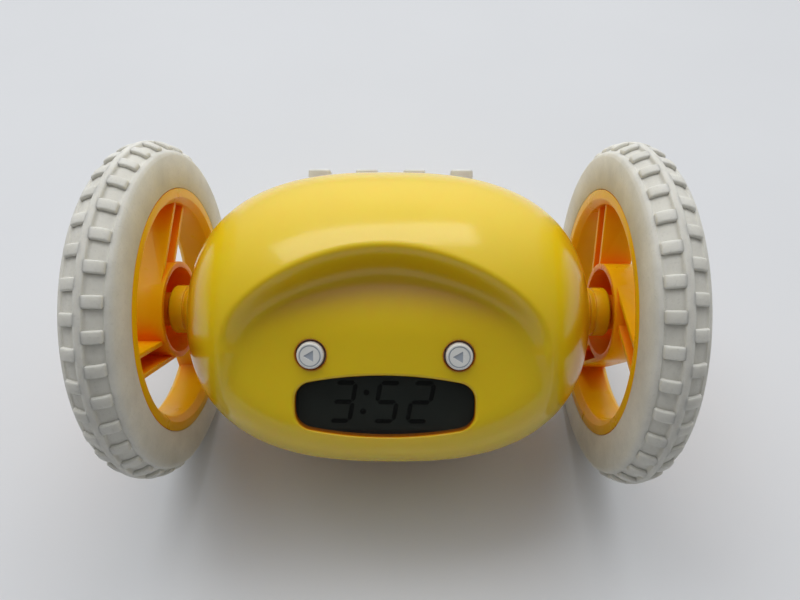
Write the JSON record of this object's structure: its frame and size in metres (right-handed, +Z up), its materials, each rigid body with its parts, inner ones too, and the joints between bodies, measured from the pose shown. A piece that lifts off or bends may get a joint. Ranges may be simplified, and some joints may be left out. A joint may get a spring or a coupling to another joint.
{
  "type": "runaway alarm clock",
  "caption": "Rounded two-shell alarm clock body slung between two large treaded wheels, with a small liquid crystal display, two round front buttons and a row of rear keys.",
  "frame": {"origin": "on the floor, midway between the tyres and straight below the wheel axle", "axes": "+X along the axle to the viewer's right when facing the display, +Y from the display to the rear, +Z up"},
  "size_m": [0.1334, 0.089, 0.089],
  "materials": {
    "body": "satin moulded plastic, bright yellow",
    "hub": "satin moulded plastic, orange yellow",
    "tyre": "matte pale grey rubber",
    "window": "smoked clear plastic",
    "display": "dark liquid crystal glass",
    "numerals": "black segments",
    "white_button": "white plastic",
    "grey_key": "translucent silicone rubber",
    "collar": "satin moulded plastic, yellow",
    "steel": "plated steel",
    "bronze": "sintered bronze",
    "circuit": "green circuit board",
    "chip": "black moulded package",
    "white_gear": "white acetal",
    "frame": "black moulded plastic",
    "conductive_rubber": "layered conductive rubber",
    "cell": "printed sleeve, no lettering",
    "contact": "nickel plated spring steel",
    "motor": "plated can",
    "speaker": "paper cone in a steel basket"
  },
  "bodies": {
    "root": {"front_shell": "body", "rear_shell": "body", "key_panel": "body", "battery_door": "body", "battery_tray": "frame", "cell_1": "cell", "cell_2": "cell", "cell_3": "cell", "cell_4": "cell", "battery_springs": "contact", "battery_contacts": "contact", "lcd_window": "window", "lcd_frame": "frame", "lcd_cell": "display", "lcd_digits": "numerals", "lcd_connector_strips": "conductive_rubber", "main_board": "circuit", "controller_chip": "chip", "board_screws": "steel", "eye_switches": "chip", "key_board": "circuit", "key_switches": "chip", "speaker": "speaker", "case_screws": "steel", "gearbox_screws": "steel", "left_axle_bush": "bronze", "left_axle_collar": "collar", "left_idler_pin": "steel", "left_motor": "motor", "left_gear_frame": "frame", "left_gear_cover": "frame", "right_axle_bush": "bronze", "right_axle_collar": "collar", "right_idler_pin": "steel", "right_motor": "motor", "right_gear_frame": "frame", "right_gear_cover": "frame"},
    "left_wheel": {"left_tyre": "tyre", "left_wheel_hub": "hub", "left_hub_cap": "hub", "left_wheel_screw": "steel", "left_axle": "steel", "left_drive_gear": "white_gear"},
    "left_idler": {"left_idler_gear": "white_gear"},
    "left_rotor": {"left_motor_pinion": "bronze"},
    "left_eye": {"left_eye_button": "white_button"},
    "right_wheel": {"right_tyre": "tyre", "right_wheel_hub": "hub", "right_hub_cap": "hub", "right_wheel_screw": "steel", "right_axle": "steel", "right_drive_gear": "white_gear"},
    "right_idler": {"right_idler_gear": "white_gear"},
    "right_rotor": {"right_motor_pinion": "bronze"},
    "right_eye": {"right_eye_button": "white_button"},
    "hour": {"hour_key": "grey_key"},
    "minute": {"minute_key": "grey_key"},
    "alarm": {"alarm_key": "grey_key"},
    "time": {"time_key": "grey_key"}
  },
  "joints": [
    {"name": "left_wheel_spin", "type": "hinge", "parent": "root", "child": "left_wheel", "pos_m": [0, 0, 0.0445], "axis": [1, 0, 0], "continuous": true},
    {"name": "left_idler_spin", "type": "hinge", "parent": "root", "child": "left_idler", "pos_m": [0, 0.01195, 0.04345], "axis": [1, 0, 0], "continuous": true},
    {"name": "left_rotor_spin", "type": "hinge", "parent": "root", "child": "left_rotor", "pos_m": [0, 0.00302, 0.05069], "axis": [1, 0, 0], "continuous": true},
    {"name": "right_wheel_spin", "type": "hinge", "parent": "root", "child": "right_wheel", "pos_m": [0, 0, 0.0445], "axis": [1, 0, 0], "continuous": true},
    {"name": "right_idler_spin", "type": "hinge", "parent": "root", "child": "right_idler", "pos_m": [0, 0.01195, 0.04345], "axis": [1, 0, 0], "continuous": true},
    {"name": "right_rotor_spin", "type": "hinge", "parent": "root", "child": "right_rotor", "pos_m": [0, 0.00302, 0.05069], "axis": [1, 0, 0], "continuous": true},
    {"name": "left_eye_press", "type": "slide", "parent": "root", "child": "left_eye", "axis": [0, 0.7314, -0.682], "range_m": [0, 0.0008], "stiffness_N_per_m": 500, "springref_m": -0.0004},
    {"name": "right_eye_press", "type": "slide", "parent": "root", "child": "right_eye", "axis": [0, 0.7314, -0.682], "range_m": [0, 0.0008], "stiffness_N_per_m": 500, "springref_m": -0.0004},
    {"name": "hour_press", "type": "slide", "parent": "root", "child": "hour", "axis": [0, -0.788, -0.6157], "range_m": [0, 0.0008], "stiffness_N_per_m": 500, "springref_m": -0.0004},
    {"name": "minute_press", "type": "slide", "parent": "root", "child": "minute", "axis": [0, -0.788, -0.6157], "range_m": [0, 0.0008], "stiffness_N_per_m": 500, "springref_m": -0.0004},
    {"name": "alarm_press", "type": "slide", "parent": "root", "child": "alarm", "axis": [0, -0.788, -0.6157], "range_m": [0, 0.0008], "stiffness_N_per_m": 500, "springref_m": -0.0004},
    {"name": "time_press", "type": "slide", "parent": "root", "child": "time", "axis": [0, -0.788, -0.6157], "range_m": [0, 0.0008], "stiffness_N_per_m": 500, "springref_m": -0.0004}
  ],
  "couplings": [
    {"joint": "left_idler_spin", "follows": "left_wheel_spin", "ratio": -3},
    {"joint": "left_rotor_spin", "follows": "left_wheel_spin", "ratio": 10.8},
    {"joint": "right_idler_spin", "follows": "right_wheel_spin", "ratio": -3},
    {"joint": "right_rotor_spin", "follows": "right_wheel_spin", "ratio": 10.8}
  ]
}
